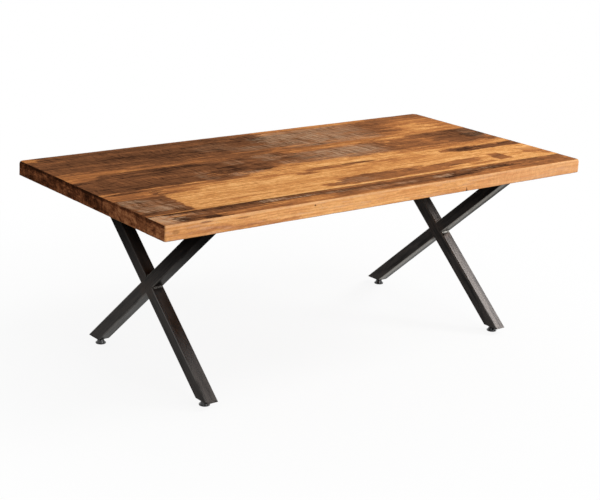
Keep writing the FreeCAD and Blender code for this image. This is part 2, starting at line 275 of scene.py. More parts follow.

# Weld beads in the four angles of each crossing and along the tube ends under each plate: laid by hand in
# short overlapping scales, wire-brushed and lacquered. Painted shade keeps them dark on the left frame and a
# painted highlight makes them pale on the right. On the tubes' flat sides the weld is ground flush.
WELD_LEG = 0.0042
WELD_CROWN = 0.0009
WELD_SCALE = 0.0021
WELD_STATION = 0.00035
WELD_POINTS = 11
END_TAPER, END_SHARE = 0.0025, 0.35
SWAY_SHARE, SWAY_WAVES = 0.10, 300
SCALE_LAG, SCALE_SHAPE = 0.7, 0.6
UNEVEN_SHARE, UNEVEN_WAVES = 0.3, 400
RIPPLE_WIDTH, RIPPLE_HEIGHT, RIPPLE_LEVEL = 0.10, 0.6, 0.4
FLAT_WIDTH = 0.8 * TUBE_SIDE


def new_piece(name, points, faces, material, body):
    """A mesh piece that rides a body and has a finish."""
    mesh = bpy.data.meshes.new(name)
    mesh.from_pydata([tuple(point) for point in points], [], faces)
    mesh.shade_smooth()
    mesh.materials.append(material)
    piece = bpy.data.objects.new(name, mesh)
    bpy.context.scene.collection.objects.link(piece)
    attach(piece, body)
    return piece


def add_bead(points, faces, corner, first, second, along, seed):
    """Adds one bead from corner along a direction, in the angle between two directions."""
    length = along.length
    stations = round(length / WELD_STATION) + 1
    outward = (first + second).normalized()
    base = len(points)
    for step in range(stations):
        run = length * step / (stations - 1)
        to_end = min(run, length - run)
        taper = END_SHARE + (1 - END_SHARE) * math.sqrt(min(1.0, to_end / END_TAPER))
        sway = 1 + SWAY_SHARE * noise.noise(Vector((run * SWAY_WAVES, seed, 0)))
        uneven = UNEVEN_SHARE * noise.noise(Vector((run * UNEVEN_WAVES, seed, 5)))
        for turn in range(WELD_POINTS):
            share = turn / (WELD_POINTS - 1)
            lag = SCALE_LAG * (2 * share - 1) ** 2
            scale = (run / WELD_SCALE + lag + uneven) % 1.0
            ripple = math.sin(math.pi * scale ** SCALE_SHAPE)
            swell = taper * sway * (1 + RIPPLE_WIDTH * ripple)
            arch = 4 * share * (1 - share)
            crown = WELD_CROWN * arch * (swell + RIPPLE_HEIGHT * ripple - RIPPLE_LEVEL)
            leg = WELD_LEG * swell
            spot = first * (leg * (1 - share)) + second * (leg * share) + outward * crown
            points.append(corner + along * (run / length) + spot)
    for step in range(stations - 1):
        for turn in range(WELD_POINTS - 1):
            low = base + step * WELD_POINTS + turn
            faces.append((low, low + 1, low + 1 + WELD_POINTS, low + WELD_POINTS))
    root = len(points)
    points += [corner, corner + along]
    last = base + (stations - 1) * WELD_POINTS
    for turn in range(WELD_POINTS - 1):
        faces.append((root, base + turn + 1, base + turn))
        faces.append((root + 1, last + turn, last + turn + 1))
    for step in range(stations - 1):
        near = base + step * WELD_POINTS
        far = near + WELD_POINTS
        roots = (root + 1, root) if step == 0 else (root + 1,)
        faces.append((near, far) + roots)
        faces.append((far + WELD_POINTS - 1, near + WELD_POINTS - 1) + roots[::-1])


def weld_steel():
    """Brushed weld metal with brown flecks of heat, painted dark as shade on the left frame and pale as a
    highlight on the right.
    """
    material, place = new_material("weld_metal")
    cloud = place.grain((0.004, 0.004, 0.004), 4, 0.6).step(0.35, 0.70)
    soot = place.grain((0.0015, 0.0015, 0.0015), 3, 0.6)
    # Painted shade and highlight: one weld metal, painted dark on the left frame and pale on the right.
    painted_shade_weld = cloud.mix(colour(46, 43, 41), colour(104, 100, 95))
    painted_highlight_weld = cloud.mix(colour(116, 112, 106), colour(228, 224, 216))
    metal = place.axes()[0].step(*LEFT_TO_RIGHT).mix(painted_shade_weld, painted_highlight_weld)
    set_surface(material, {
        "Base Color": (soot.step(0.5, 0.7) * 0.35).mix(metal, colour(60, 45, 34)),
        "Metallic": 0.95,
        "Roughness": 0.22 + soot * 0.2,
        "Coat Weight": 0.2,
        "Coat Roughness": 0.15,
        "Normal": soot.bump(0.00012),
    })
    return material


weld_metal = weld_steel()
for side, sign in (("left", -1), ("right", 1)):
    points, faces = [], []
    start = CROSSING + Vector((sign * FRAME_X - FLAT_WIDTH / 2, 0, 0))
    along = Vector((FLAT_WIDTH, 0, 0))
    above = Vector((0, 0, TUBE_SIDE / 2 / math.cos(LEG_ANGLE)))
    behind = Vector((0, TUBE_SIDE / 2 / math.sin(LEG_ANGLE), 0))
    angles = (
        (above, UP_TO_BACK, UP_TO_FRONT),
        (-above, -UP_TO_BACK, -UP_TO_FRONT),
        (behind, -UP_TO_FRONT, UP_TO_BACK),
        (-behind, UP_TO_FRONT, -UP_TO_BACK),
    )
    for number, (offset, first, second) in enumerate(angles):
        add_bead(points, faces, start + offset, first, second, along, 10 * number + 1 + sign)
    beads = new_piece(side + "_crossing_beads", points, faces, weld_metal, "table")
    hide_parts(side + "_crossing_welds")
    dress(side + "_flush_welds", flat_steel)
    dress(side + "_plate_welds", weld_metal)

# Weld nuts inside the legs, threaded inserts in the boards, washers and button-head screws: stock steel
# fasteners, bright zinc plated. The nuts are welded on the caps, the inserts driven into drilled holes.


def zinc_plate():
    """Bright zinc with the faint spangle and blue-grey cast of plating."""
    material, place = new_material("zinc_plate")
    cloud = place.grain((0.003, 0.003, 0.003), 3)
    fine = place.grain((0.0006, 0.0006, 0.0006), 2)
    set_surface(material, {
        "Base Color": cloud.step(0.3, 0.7).mix(colour(176, 178, 180), colour(205, 206, 204)),
        "Metallic": 1.0,
        "Roughness": 0.24 + fine * 0.14,
        "Normal": fine.bump(0.00003),
    })
    return material


zinc = zinc_plate()
for side in ("left", "right"):
    for fastener in ("plate_screws", "plate_washers", "threaded_inserts"):
        dress(side + "_" + fastener, zinc)
for corner in CORNERS:
    dress(corner + "_weld_nut", zinc)

# Foot studs: M8 threaded rod of zinc-plated steel, moulded into the base and screwed up into the weld nut.
# The thread shows under the leg when a foot is wound out.
THREAD_PITCH = 0.00125
THREAD_DEPTH = 0.00060
THREAD_FLAT = 0.1
STUD_POINT = 0.0008
THREAD_TURN_POINTS = 40
THREAD_RINGS_PER_TURN = 8

for corner in CORNERS:
    stud_low, stud_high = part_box(corner + "_foot_stud")
    axis = (stud_low + stud_high) / 2
    outer = (stud_high.x - stud_low.x) / 2
    rings = round((stud_high.z - stud_low.z) / THREAD_PITCH * THREAD_RINGS_PER_TURN) + 1
    points, faces = [], []
    for ring in range(rings):
        z = stud_low.z + (stud_high.z - stud_low.z) * ring / (rings - 1)
        point_in = max(0.0, STUD_POINT - (stud_high.z - z))
        for turn in range(THREAD_TURN_POINTS):
            share = turn / THREAD_TURN_POINTS
            flank = abs(2 * ((z / THREAD_PITCH - share) % 1.0) - 1)
            depth = THREAD_DEPTH * min(1.0, max(0.0, (flank - THREAD_FLAT) / (1 - 2 * THREAD_FLAT)))
            radius = outer - depth - point_in
            angle = 2 * math.pi * share
            points.append((axis.x + radius * math.cos(angle), axis.y + radius * math.sin(angle), z))
    for ring in range(rings - 1):
        for turn in range(THREAD_TURN_POINTS):
            low = ring * THREAD_TURN_POINTS
            following = (turn + 1) % THREAD_TURN_POINTS
            above = low + THREAD_TURN_POINTS
            faces.append((low + turn, low + following, above + following, above + turn))
    faces.append(tuple(reversed(range(THREAD_TURN_POINTS))))
    faces.append(tuple(range((rings - 1) * THREAD_TURN_POINTS, rings * THREAD_TURN_POINTS)))
    stud = new_piece(corner + "_threaded_stud", points, faces, zinc, corner + "_stud")
    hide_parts(corner + "_foot_stud")

# Foot bases: black moulded plastic, a round rim on the floor and a cone that narrows to the neck round the
# stud. They are glossy from the mould, with fine scuffs round the rim.


def moulded_plastic():
    """Black plastic with a slight orange-peel and grey scuffs low down."""
    material, place = new_material("moulded_foot")
    z = place.axes()[2]
    peel = place.grain((0.0012, 0.0012, 0.0012), 2)
    scuffs = place.grain((0.002, 0.002, 0.0006), 4, 0.7).step(0.56, 0.72) * z.step(0.0045, 0.001)
    set_surface(material, {
        "Base Color": (scuffs * 0.6).mix(colour(26, 25, 27), colour(92, 90, 88)),
        "Roughness": 0.16 + scuffs * 0.3 + peel * 0.08,
        "Specular IOR Level": 0.45,
        "Coat Weight": 0.35,
        "Coat Roughness": 0.06,
        "Normal": peel.bump(0.00004),
    })
    return material


foot_black = moulded_plastic()
for corner in CORNERS:
    dress(corner + "_foot_base", foot_black)

# Dowels in the three glued seams: pegs turned from beech, glued into holes that are drilled in both boards.
# They keep the boards level, and the boards hide them.


def beech():
    """Pale beech with its short dark flecks along each peg."""
    material, place = new_material("beech_peg")
    fibre = place.grain((0.0008, 0.03, 0.0008), 3)
    flecks = place.grain((0.0006, 0.004, 0.0006), 1).step(0.62, 0.70)
    wood = fibre.step(0.3, 0.7).mix(colour(214, 178, 136), colour(190, 150, 108))
    set_surface(material, {
        "Base Color": (flecks * 0.5).mix(wood, colour(140, 98, 64)),
        "Roughness": 0.55 + fibre * 0.1,
        "Normal": fibre.bump(0.00005),
    })
    return material


beech_wood = beech()
for seam in ("back", "centre_back", "centre_front"):
    dress("seam_dowels_" + seam, beech_wood)

# The four boards of the top: old softwood, sawn again, glued edge to edge and oiled to a dull finish. Brown
# patina, grey weathering and cross saw marks are left in the low places, and honey wood shows where the
# boards were planed and along the rubbed edges. Across the middle of the back boards the grey is partly a
# painted sheen.
MM = 0.001
EDGE_LINES = (0.0, 0.35, 0.8, 1.4, 2.2, 3.2, 4.6)
HOLE_LINES = (0.3, 0.8, 1.2, 1.7, 2.6)
HOLE_RIM, HOLE_WALL = 1.25, 0.5
LEAST_LINE_GAP = 0.00012
LONG_STEP = 0.004
CROSS_STEP = 0.003
HEIGHT_STEP = 0.0025
BOARD_CORNER = 0.0038
ARRIS = 0.0024
END_ARRIS = 0.8 * ARRIS
SEAM_EASE = 0.0007
LEAST_EASE = 0.0003
WORN_CUT, WORN_SOFT = 0.0040, 0.0008
PATINA_DEPTH = 0.0005
TOP_WAVE, UNDER_WAVE, END_WAVE, EDGE_WAVE = 0.00012, 0.0003, 0.00022, 0.00025
SPOT_OUTSIDE, SPOT_INSIDE = 1.5, 0.6
BATTEN_END, BATTEN_SIDE, WEATHERED_END = 4, 6, 34
BOARD_SEED = 17

# What each board shows. Places are in millimetres from the middle of the top and from its back edge, or on
# an outer edge from its upper side.
# sink, ring: how far the upper side lies below the top, and how wide a growth ring is.
# pith: where the middle of the growth rings is across and up, and its lean along the board.
# planed, end: how brown the planed wood is, and how pale the end grain is.
# rubbed, dark_seam, worn_seam: how pale the outer arris is, how dark the back seam, how worn the front seam.
# patina, grey, black, pale, edge, knots: each spot's place, half its length, half its width, its strength.
# patina_battens, grey_battens: marks of battens, from and to along the grain and across it, and strength.
# holes: each nail hole's side, place, radius and depth.
# chips, worn_corners: x and y of the corner. A chip has how far below the top, its reach and its depth too.
BOARDS = {
    "back": {
        "sink": 0.0,
        "pith": (0.205, 0.330, 0.010, -0.012),
        "ring": 0.0052,
        "planed": 0.43,
        "end": 0.30,
        "rubbed": 0.06,
        "patina": [
            (-310, 78, 400, 84, 0.82), (60, 95, 240, 75, 0.74), (300, 98, 130, 68, 0.70),
            (390, 40, 80, 30, 0.74), (560, 20, 45, 18, 0.68), (480, 34, 130, 30, 0.60),
            (-520, 178, 100, 16, 0.55), (-330, 180, 110, 15, 0.68), (-120, 178, 130, 18, 0.72),
            (60, 178, 80, 12, 0.68), (190, 182, 70, 14, 0.52), (570, 130, 40, 60, 0.46),
        ],
        "grey": [
            (125, 102, 120, 52, 0.95), (-40, 135, 70, 20, 0.35), (-140, 90, 60, 30, 0.15),
            (190, 55, 40, 16, 0.6),
        ],
        "black": [
            (15, 55, 24, 32, 0.35), (245, 40, 26, 10, 0.45), (80, 30, 18, 8, 0.35), (130, 168, 24, 7, 0.3),
            (305, 158, 20, 8, 0.35), (-20, 42, 30, 10, 0.35), (-370, 75, 40, 10, 0.2),
            (-280, 120, 60, 20, 0.15),
        ],
        "pale": [
            (120, 11, 210, 12, 0.08), (-585, 14, 18, 16, 0.6), (480, 130, 50, 34, 0.45),
            (440, 165, 60, 12, 0.35),
        ],
        "patina_battens": [
            (-640, -190, -20, 161, 0.78), (-200, 30, -20, 161, 0.72), (405, 640, -20, 60, 0.60),
        ],
        "grey_battens": [(36, 330, 24, 178, 0.60)],
        "edge": [(-300, 12, 200, 10, 0.5), (250, 25, 260, 8, 0.45)],
        "worn_corners": [(-600, 294), (600, 294)],
    },
    "centre_back": {
        "sink": 0.0003,
        "pith": (0.060, 0.335, 0.022, 0.060),
        "ring": 0.0075,
        "planed": 0.22,
        "end": 0.28,
        "patina": [
            (-420, 262, 220, 76, 0.82), (-330, 218, 90, 20, 0.86), (-200, 262, 95, 68, 0.80),
            (-80, 248, 120, 60, 0.76), (60, 250, 150, 52, 0.74), (200, 262, 110, 56, 0.72),
            (370, 268, 130, 58, 0.64), (545, 258, 85, 68, 0.78), (430, 225, 70, 26, 0.70),
            (-400, 350, 200, 8, 0.62), (-270, 335, 70, 18, 0.70), (400, 336, 190, 10, 0.44),
        ],
        "grey": [
            (140, 262, 85, 36, 0.90), (40, 262, 50, 34, 0.5), (-75, 225, 30, 26, 0.5),
            (-60, 285, 26, 16, 0.4), (-180, 232, 20, 16, 0.4), (-200, 322, 50, 12, 0.5),
            (-310, 300, 14, 36, 0.3), (575, 250, 30, 40, 0.2),
        ],
        "black": [
            (-205, 272, 26, 22, 0.28), (-330, 210, 70, 12, 0.18), (-150, 304, 26, 9, 0.35),
            (-250, 290, 30, 16, 0.25), (560, 258, 30, 20, 0.38), (540, 215, 50, 20, 0.22),
            (430, 212, 26, 10, 0.3), (15, 222, 14, 5, 0.4), (-550, 352, 40, 4, 0.5),
        ],
        "pale": [
            (-575, 212, 40, 18, 0.50), (90, 206, 110, 12, 0.45), (400, 262, 14, 30, 0.3),
            (590, 290, 12, 12, 0.4),
        ],
        "patina_battens": [
            (440, 640, 180, 314, 0.70), (-530, 10, 180, 290, 0.74), (-640, -305, 232, 340, 0.80),
        ],
        "grey_battens": [(-16, 238, 220, 312, 0.42)],
    },
    "centre_front": {
        "sink": 0.0,
        "pith": (-0.020, 0.300, -0.018, 0.016),
        "ring": 0.0062,
        "planed": 0.22,
        "end": 0.54,
        "worn_seam": 0.8,
        "patina": [
            (-545, 376, 62, 20, 0.56), (-475, 372, 14, 30, 0.74), (-430, 376, 46, 18, 0.50),
            (-340, 364, 60, 8, 0.42), (-170, 372, 70, 8, 0.44), (250, 380, 50, 8, 0.42),
            (-20, 366, 60, 12, 0.62), (-90, 386, 30, 10, 0.58), (75, 362, 55, 7, 0.84),
            (150, 376, 60, 6, 0.50), (200, 390, 50, 6, 0.38), (-76, 495, 50, 11, 0.68),
            (-14, 480, 56, 25, 0.72), (90, 476, 95, 22, 0.66), (60, 502, 140, 10, 0.62),
            (180, 482, 70, 16, 0.58), (170, 500, 100, 10, 0.56), (262, 476, 64, 16, 0.68),
            (325, 472, 50, 18, 0.58), (350, 498, 50, 8, 0.55), (430, 376, 62, 17, 0.86),
            (525, 378, 110, 16, 0.84), (140, 405, 160, 35, 0.30), (360, 374, 30, 10, 0.62),
            (560, 462, 26, 24, 0.45), (590, 482, 20, 20, 0.5),
        ],
        "grey": [
            (-560, 412, 34, 12, 0.8), (-545, 478, 46, 16, 0.85), (-575, 440, 22, 20, 0.55),
            (-520, 440, 24, 20, 0.3), (560, 440, 10, 8, 0.5), (-30, 485, 50, 16, 0.3),
        ],
        "black": [
            (-500, 498, 20, 10, 0.4), (-570, 500, 30, 8, 0.5), (-545, 428, 14, 10, 0.3),
            (440, 374, 40, 8, 0.12), (405, 378, 14, 10, 0.18), (275, 484, 24, 5, 0.45),
        ],
        "pale": [
            (520, 425, 80, 14, 0.5), (480, 440, 22, 8, 0.6), (140, 420, 60, 20, 0.35),
            (230, 375, 40, 10, 0.3),
        ],
        "patina_battens": [(-620, -478, 394, 530, 0.74), (416, 462, 444, 500, 0.68)],
    },
    "front": {
        "sink": 0.0005,
        "pith": (-0.330, 0.350, 0.012, -0.020),
        "ring": 0.0068,
        "planed": 0.46,
        "end": 0.53,
        "rubbed": 0.8,
        "dark_seam": 0.9,
        "patina": [
            (-300, 534, 250, 13, 0.83), (-450, 548, 110, 14, 0.80), (60, 546, 220, 22, 0.74),
            (100, 568, 180, 10, 0.70), (330, 538, 110, 14, 0.82), (250, 556, 80, 12, 0.78),
            (520, 536, 90, 14, 0.76), (-520, 565, 45, 16, 0.86), (-475, 570, 30, 12, 0.82),
            (560, 552, 40, 10, 0.62), (-100, 560, 60, 18, 0.64), (500, 566, 120, 14, 0.64),
        ],
        "grey": [
            (-300, 533, 34, 6, 0.85), (-225, 538, 46, 5, 0.7), (-130, 540, 40, 6, 0.4),
            (-582, 552, 22, 32, 1.25), (-550, 532, 30, 6, 0.6), (-500, 540, 18, 8, 0.4),
            (170, 548, 26, 7, 0.85), (40, 552, 60, 7, 0.5), (265, 534, 24, 5, 0.5), (330, 536, 24, 5, 0.4),
            (-50, 556, 40, 8, 0.3), (-540, 552, 10, 6, 0.8),
        ],
        "black": [
            (-390, 530, 60, 9, 0.22), (-470, 536, 40, 12, 0.18), (370, 540, 36, 8, 0.3),
            (-540, 560, 14, 14, 0.5), (-470, 574, 26, 8, 0.4), (220, 560, 50, 8, 0.35),
            (280, 548, 30, 6, 0.35),
        ],
        "patina_battens": [(-565, -230, 510, 534, 0.86)],
        "grey_battens": [(-606, -562, 538, 584, 0.6)],
        "edge": [
            (-540, 22, 70, 8, 0.34), (-470, 20, 34, 5, 0.40), (-330, 28, 60, 4, 0.34),
            (-420, 27, 50, 3, 0.38), (150, 27, 120, 5, 0.26), (-300, 14, 60, 3, 0.26),
        ],
        "knots": [
            (-575, 16, 8, 4.5, 0.55), (-503, 5, 14, 1.8, 0.8), (-414, 8.5, 16, 1.7, 0.7),
            (-360, 21, 6, 1.6, 0.5), (216, 30, 2.5, 3.5, 0.7),
        ],
        "holes": [
            ("edge", -228.6, 7.8, 1.5, 3.0), ("top", -229.9, 578.5, 1.2, 2.0),
            ("edge", 217.0, 31.0, 1.8, 3.0), ("edge", 216.0, 25.5, 1.1, 2.0),
        ],
        "chips": [(-600, -294, 33, 7, 1.5), (600, -294, 33, 8, 1.6)],
        "worn_corners": [(600, -294)],
    },
}
# What a board has none of, unless it says so above.
NO_MARKS = {
    "rubbed": 0.0, "dark_seam": 0.0, "worn_seam": 0.0,
    "pale": [], "grey_battens": [], "edge": [], "knots": [], "holes": [], "chips": [], "worn_corners": [],
}
BOARD_BOX = {name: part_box("top_board_" + name) for name in BOARDS}
top_high = Vector(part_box("top_board_back")[1])


def mesh_lines(low, high, step, spots):
    """Where the mesh lines of a board run: close together at both edges and round each nail hole."""
    edge = np.array(EDGE_LINES) * MM
    inside = np.linspace(low + edge[-1], high - edge[-1], max(2, round((high - low) / step)))
    near = [spot + way * gap * MM for spot in spots for gap in HOLE_LINES for way in (-1, 1)]
    places = np.sort(np.concatenate([low + edge, high - edge, inside, near]))
    places = places[(places >= low) & (places <= high)]
    kept = [places[0]]
    for place in places[1:-1]:
        if place - kept[-1] > LEAST_LINE_GAP and high - place > LEAST_LINE_GAP:
            kept.append(place)
    return np.array(kept + [high])


def box_mesh(lines):
    """Points and faces of a box, with mesh lines along its three axes that meet at the edges."""
    counts = [len(line) for line in lines]
    outside = np.zeros(counts, bool)
    for axis in range(3):
        ends = [slice(None)] * 3
        ends[axis] = [0, counts[axis] - 1]
        outside[tuple(ends)] = True
    number = np.full(counts, -1)
    number[outside] = np.arange(outside.sum())
    points = np.stack(np.meshgrid(*lines, indexing="ij"), -1)[outside]
    faces = []
    for axis in range(3):
        for end in (0, -1):
            sheet = np.take(number, end, axis)
            corners = [sheet[:-1, :-1], sheet[1:, :-1], sheet[1:, 1:], sheet[:-1, 1:]]
            quads = np.stack(corners, -1).reshape(-1, 4)
            outward = (end == -1) != (axis == 1)
            faces += (quads if outward else quads[:, ::-1]).tolist()
    return points, faces


def wander(points, size, seed):
    """Smooth noise from -1 to 1 at each point, with waves about as long as size along each axis."""
    shift = Vector((seed, 2 * seed, 3 * seed))
    return np.array([noise.noise(Vector(point) + shift) for point in points / np.array(size)])


def round_edge(points, first, first_plane, second, second_plane, radius):
    """Rounds the edge where two sides of a board meet, by the radius at each point."""
    offsets = []
    for axis, plane in ((first, first_plane), (second, second_plane)):
        offsets.append(radius - np.abs(points[:, axis] - plane))
    reach = np.hypot(*offsets)
    turned = (offsets[0] > 0) & (offsets[1] > 0) & (reach > radius)
    shrink = radius[turned] / reach[turned]
    for axis, plane, offset in ((first, first_plane, offsets[0]), (second, second_plane, offsets[1])):
        inward = np.sign(points[:, axis].mean() - plane)
        points[turned, axis] = plane + inward * (radius[turned] - offset[turned] * shrink)


def spread(along, across, spots):
    """How strong the strongest spot of a list is at each place, in millimetres."""
    strength = np.zeros(len(along))
    for x, y, half_length, half_width, most in spots:
        reach = np.hypot(((along - x) / half_length) ** 2, ((across - y) / half_width) ** 2)
        inside = np.clip((SPOT_OUTSIDE - reach) / (SPOT_OUTSIDE - SPOT_INSIDE), 0, 1)
        strength = np.maximum(strength, most * inside * inside * (3 - 2 * inside))
    return strength


def long_edges(name):
    """A board's two long edges: its y, the way inward, and whether it is an outer edge of the top."""
    low, high = BOARD_BOX[name]
    return (low.y, 1, name == "front"), (high.y, -1, name == "back")


def roughen(points, flat, name, board, seed):
    """Sinks the patina below the planed wood, and leaves saw waves below, at the ends and outside."""
    low, high = BOARD_BOX[name]
    patina = spread(flat[:, 0] / MM, (top_high.y - flat[:, 1]) / MM, board["patina"])
    uneven = 1 + 0.9 * wander(flat, (0.09, 0.022, 0.03), seed)
    wave = TOP_WAVE * wander(flat, (0.25, 0.05, 1), seed + 7)
    sink = board["sink"] + PATINA_DEPTH * patina * uneven + wave
    points[:, 2] -= np.where(flat[:, 2] == high.z, np.maximum(sink, 0), 0)
    wave = UNDER_WAVE * (1 + wander(flat, (0.012, 0.2, 1), seed + 3))
    points[:, 2] += np.where(flat[:, 2] == low.z, wave, 0)
    wave = END_WAVE * (1 + wander(flat, (1, 0.006, 0.05), seed + 5))
    for end, way in ((low.x, 1), (high.x, -1)):
        points[:, 0] += np.where(flat[:, 0] == end, way * wave, 0)
    for face, way, outer in long_edges(name):
        if outer:
            wave = EDGE_WAVE * (1 + wander(flat, (0.12, 1, 0.012), seed + 9))
            points[:, 1] += np.where(flat[:, 1] == face, way * wave, 0)


def press_holes(points, flat, name, board):
    """Presses the nail holes into a board's upper side or its outer edge."""
    low, high = BOARD_BOX[name]
    for side, x, across, radius, depth in board["holes"]:
        along = flat[:, 0] / MM - x
        on_top = side == "top"
        beside = (top_high.y - flat[:, 1] if on_top else high.z - flat[:, 2]) / MM - across
        pit = depth * MM * np.clip((HOLE_RIM - np.hypot(along, beside) / radius) / HOLE_WALL, 0, 1)
        if on_top:
            points[:, 2] -= np.where(flat[:, 2] == high.z, pit, 0)
        else:
            points[:, 1] += np.where(flat[:, 1] == low.y, pit, 0)


def board_corner(name, x, y, down):
    """A corner of a board, and the slanting way from it into the board."""
    low, high = BOARD_BOX[name]
    corner = np.array((x * MM, y * MM, high.z - down * MM))
    return corner, np.sign(np.array((low + high) / 2) - corner) / math.sqrt(3)


def chip_corners(points, flat, name, board, seed):
    """Breaks ragged chips off a board's corners."""
    for x, y, down, radius, depth in board["chips"]:
        corner, inward = board_corner(name, x, y, down)
        reach = np.linalg.norm(flat - corner, axis=1) / (radius * MM)
        ragged = 1 + 0.5 * wander(flat, (0.004, 0.004, 0.004), seed)
        bite = depth * MM * np.clip(1 - reach, 0, 1) ** 1.5 * ragged
        points += bite[:, None] * inward


def ease_edges(points, flat, name, seed):
    """Rounds a board's edges, more or less along them, and the upright corners of the top."""
    low, high = BOARD_BOX[name]
    wear = 1 + 0.45 * wander(flat, (0.06, 0.06, 0.06), seed + 2)
    wear += 0.25 * wander(flat, (0.012, 0.012, 0.012), seed + 4)
    for y, _, outer in long_edges(name):
        if outer:
            for x in (low.x, high.x):
                round_edge(points, 0, x, 1, y, BOARD_CORNER * np.clip(wear, 0.6, 1.4))
        for z in (low.z, high.z):
            radius = (ARRIS if outer else SEAM_EASE) * wear
            round_edge(points, 1, y, 2, z, np.maximum(radius, LEAST_EASE))
    for x in (low.x, high.x):
        for z in (low.z, high.z):
            round_edge(points, 0, x, 2, z, np.maximum(END_ARRIS * wear, LEAST_EASE))


def blunt_corners(points, name, board):
    """Wears a board's sharpest upper corners down to a soft slant."""
    for x, y in board["worn_corners"]:
        corner, inward = board_corner(name, x, y, 0)
        short = (WORN_CUT - (points - corner) @ inward) / WORN_SOFT
        points += WORN_SOFT * np.logaddexp(0, short)[:, None] * inward


def board_mesh(name, board, seed):
    """Points and faces of a board: a box that is then sawn, nailed, chipped and worn."""
    low, high = BOARD_BOX[name]
    hole_x = [hole[1] * MM for hole in board["holes"]]
    hole_y = [top_high.y - hole[2] * MM for hole in board["holes"] if hole[0] == "top"]
    hole_z = [high.z - hole[2] * MM for hole in board["holes"] if hole[0] == "edge"]
    points, faces = box_mesh([
        mesh_lines(low.x, high.x, LONG_STEP, hole_x),
        mesh_lines(low.y, high.y, CROSS_STEP, hole_y),
        mesh_lines(low.z, high.z, HEIGHT_STEP, hole_z),
    ])
    flat = points.copy()
    roughen(points, flat, name, board, seed)
    press_holes(points, flat, name, board)
    chip_corners(points, flat, name, board, seed)
    ease_edges(points, flat, name, seed)
    blunt_corners(points, name, board)
    return points, faces


def from_spot(place, side, x, across, half_length, half_width):
    """The way from a spot's middle on a board's upper side or outer edge, in shares of its half sizes."""
    long, wide = 1 / (half_length * MM), 1 / (half_width * MM)
    if side == "top":
        scale, shift = (long, wide, 0.0), (-x * MM * long, (across * MM - top_high.y) * wide, 0.0)
    else:
        scale, shift = (long, 0.0, wide), (-x * MM * long, 0.0, (across * MM - top_high.z) * wide)
    return place.node("VectorMath", {"operation": "MULTIPLY_ADD"}, {0: place, 1: scale, 2: shift})


def strongest(place, spots, side, ragged):
    """How strong the strongest of some ragged oblong spots is, on a board's upper side or outer edge."""
    mask = place.axes()[0] * 0.0
    for x, across, half_length, half_width, most in spots:
        way = from_spot(place, side, x, across, half_length, half_width)
        reach = place.maths("LENGTH", way * way) + ragged
        ends = {"Value": reach, "From Min": SPOT_OUTSIDE, "From Max": SPOT_INSIDE, "To Max": most}
        mask = mask.most(place.node("MapRange", {"interpolation_type": "SMOOTHSTEP"}, ends))
    return mask


def knot_rings(place, knots):
    """How dark the knots of an outer edge are: each a ringed heart that fades at its rim."""
    mask = place.axes()[0] * 0.0
    for x, down, half_length, half_height, most in knots:
        reach = place.maths("LENGTH", from_spot(place, "edge", x, down, half_length, half_height))
        rings = reach.maths("FRACT", reach * 2.6).step(0.30, 0.80)
        mask = mask.most(reach.step(1.35, 0.70) * (rings * 0.4 + 0.6) * most)
    return mask


def between(value, start, stop, soft):
    """1 between two places in millimetres and 0 outside them, soft millimetres to each side."""
    half = (stop - start) / 2
    return abs(value - (start + stop) / 2 * MM).step((half + soft) * MM, (half - soft) * MM)


def batten_marks(x, from_back, marks, soft):
    """How strong the strongest of some straight marks is; soft is how far their ends fade."""
    mask = x * 0.0
    for start, stop, back, front, most in marks:
        crossed = between(x, start, stop, soft) * between(from_back, back, front, BATTEN_SIDE)
        mask = mask.most(crossed * most)
    return mask


OLD_WOOD_TONES = [
    (0.00, colour(248, 190, 124)), (0.22, colour(218, 152, 88)), (0.45, colour(180, 115, 67)),
    (0.70, colour(135, 87, 56)), (0.88, colour(105, 68, 45)), (1.00, colour(66, 42, 29)),
]
END_GRAIN_TONES = [
    (0.0, colour(50, 27, 16)), (0.35, colour(98, 56, 34)),
    (0.65, colour(144, 89, 56)), (1.0, colour(186, 126, 84)),
]

# Where each mask on a board starts and where it is full, from its own face, and how much wider a glue line
# shows on the underside.
TOP_FACE, UNDER_FACE, END_FACE = (0.0034, 0.0012), (0.0022, 0.0006), (0.0030, 0.0008)
OUTER_FACE, OUTER_CORNER = (0.02, 0.002), (0.0034, 0.0010)
RUBBED_SIDE, RUBBED_TOP_EDGE = (0.0050, 0.0012), (0.0055, 0.0025)
SOILED_TOP_EDGE = (0.0095, 0.0025)
WORN_SEAM, DARK_SEAM, GLUE_LINE = (0.0065, 0.0020), (0.0060, 0.0020), (0.0012, 0.0003)
UNDER_GAP = 0.0010

# Where these start and where they are full along the table.
DARK_SEAM_END, BROWN_END, RESAWN_END = (-0.44, -0.50), (-0.25, -0.60), (0.18, 0.34)


def late_wood(place, board, cloud, streak, band):
    """The dark part of each growth ring, where the rings round the pith meet the surface."""
    x, y, z = place.axes()
    pith_y, pith_z, lean_y, lean_z = board["pith"]
    from_pith = y - pith_y + x * lean_y + (cloud - 0.5) * 0.022
    below_pith = z - pith_z + x * lean_z + (streak - 0.5) * 0.004
    squares = from_pith * from_pith + below_pith * below_pith
    ring = squares.maths("SQRT", squares) / board["ring"] + (band - 0.5) * 3.0
    ring = ring.maths("FRACT", ring)
    return ring.step(0.2, 0.85) * ring.step(1.0, 0.92)


